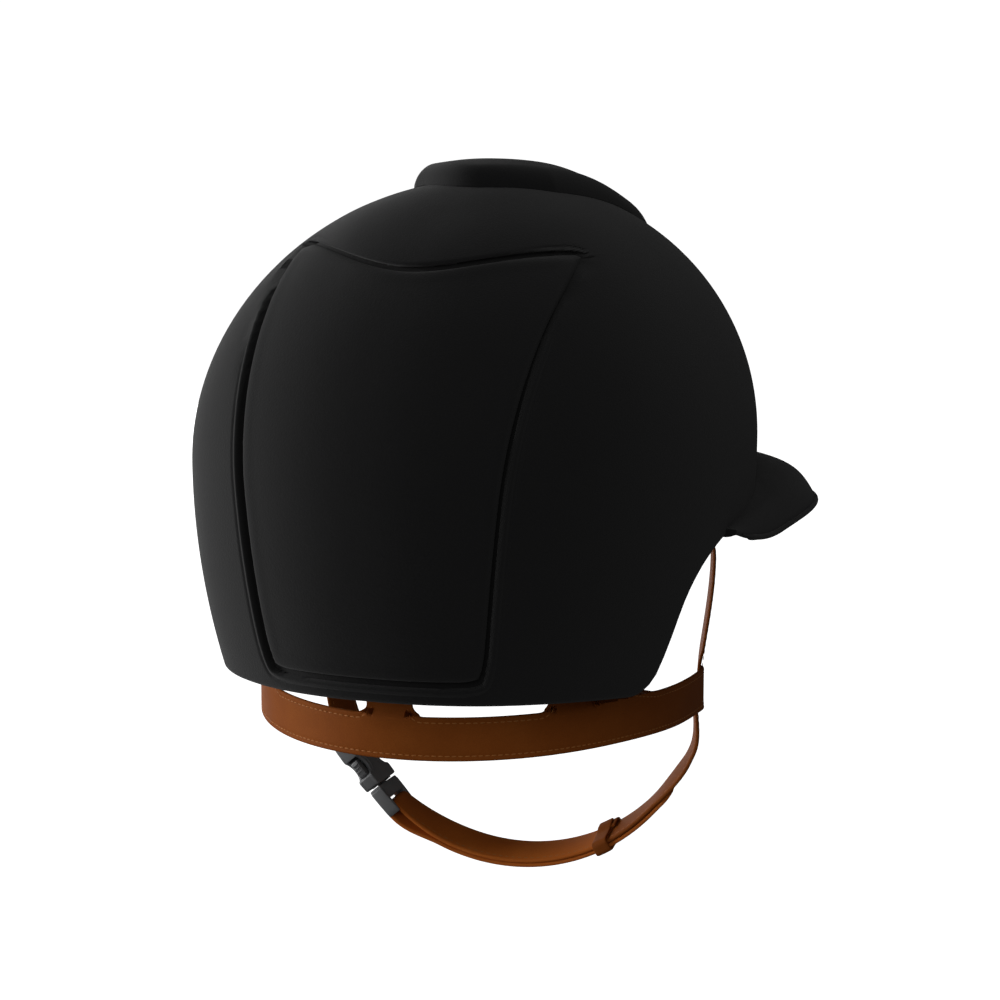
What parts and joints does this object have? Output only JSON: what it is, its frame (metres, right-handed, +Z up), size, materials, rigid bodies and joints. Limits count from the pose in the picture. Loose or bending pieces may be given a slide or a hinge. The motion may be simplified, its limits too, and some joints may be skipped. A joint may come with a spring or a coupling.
{
  "type": "equestrian riding helmet",
  "caption": "Suede-covered riding helmet with wide visor, raised vent cowl, inset rear panel, leather nape band and a chin strap with side-release buckle.",
  "frame": {"origin": "centre of the head opening, a little below the rear rim, where the head holds the helmet", "axes": "+Z up, -Y the way the wearer looks, +X the wearer's left"},
  "size_m": [0.2268, 0.3393, 0.3027],
  "materials": {
    "shell": "matte black suede-like covering",
    "mesh": "fine black air mesh",
    "lining": "soft black lining cloth",
    "foam": "expanded foam",
    "hook_tape": "hook-and-loop tape",
    "leather": "tan leather with light brown stitching",
    "buckle": "dark grey moulded nylon, satin",
    "steel": "zinc-plated"
  },
  "bodies": {
    "root": {"outer_shell": "shell", "rear_panel": "shell", "vent_cowl": "shell", "vent_grille": "mesh", "visor": "shell", "visor_lining": "lining", "visor_edge_trim": "lining", "visor_screw_left": "steel", "visor_screw_centre": "steel", "visor_screw_right": "steel", "impact_liner": "foam", "nape_pad": "lining", "side_pad_left": "lining", "side_pad_right": "lining", "brow_pad": "lining", "crown_pad": "lining", "hook_patch_brow": "hook_tape", "hook_patch_left": "hook_tape", "hook_patch_right": "hook_tape", "hook_patch_nape": "hook_tape", "nape_band": "leather", "temple_strap_left": "leather", "temple_strap_right": "leather", "anchor_rivet_rear": "steel", "anchor_rivet_side_left": "steel", "anchor_rivet_side_right": "steel", "anchor_rivet_temple_left": "steel", "anchor_rivet_temple_right": "steel"},
    "chin_left": {"chin_strap_short": "leather", "buckle_female": "buckle"},
    "chin_right": {"chin_strap_long": "leather", "chin_strap_adjuster": "leather"},
    "buckle_plug": {"buckle_male": "buckle"},
    "prong_rear": {"buckle_prong_rear": "buckle"},
    "prong_front": {"buckle_prong_front": "buckle"},
    "keeper": {"strap_keeper": "leather"}
  },
  "joints": [
    {"name": "chin_strap_swing", "type": "hinge", "parent": "root", "child": "chin_right", "pos_m": [0, -0.042, -0.005], "axis": [1, 0, 0], "range_deg": [-65, 45]},
    {"name": "chin_short_swing", "type": "hinge", "parent": "root", "child": "chin_left", "pos_m": [0, -0.042, -0.005], "axis": [1, 0, 0], "range_deg": [-65, 45]},
    {"name": "buckle_release", "type": "slide", "parent": "chin_right", "child": "buckle_plug", "axis": [-0.6691, 0, -0.7431], "range_m": [0, 0.022], "deforming": ["chin_strap_adjuster"]},
    {"name": "prong_rear_squeeze", "type": "hinge", "parent": "buckle_plug", "child": "prong_rear", "pos_m": [0.06119, -0.0354, -0.06333], "axis": [0.7431, 0, -0.6691], "range_deg": [0, 5], "stiffness_Nm_per_rad": 0.02},
    {"name": "prong_front_squeeze", "type": "hinge", "parent": "buckle_plug", "child": "prong_front", "pos_m": [0.06119, -0.0486, -0.06333], "axis": [0.7431, 0, -0.6691], "range_deg": [-5, 0], "stiffness_Nm_per_rad": 0.02},
    {"name": "keeper_slide", "type": "hinge", "parent": "chin_right", "child": "keeper", "pos_m": [0, -0.042, -0.005], "axis": [0, 1, 0], "range_deg": [-14, 14]}
  ],
  "couplings": [
    {"joint": "chin_short_swing", "follows": "chin_strap_swing", "ratio": 1},
    {"joint": "prong_front_squeeze", "follows": "prong_rear_squeeze", "ratio": -1}
  ]
}
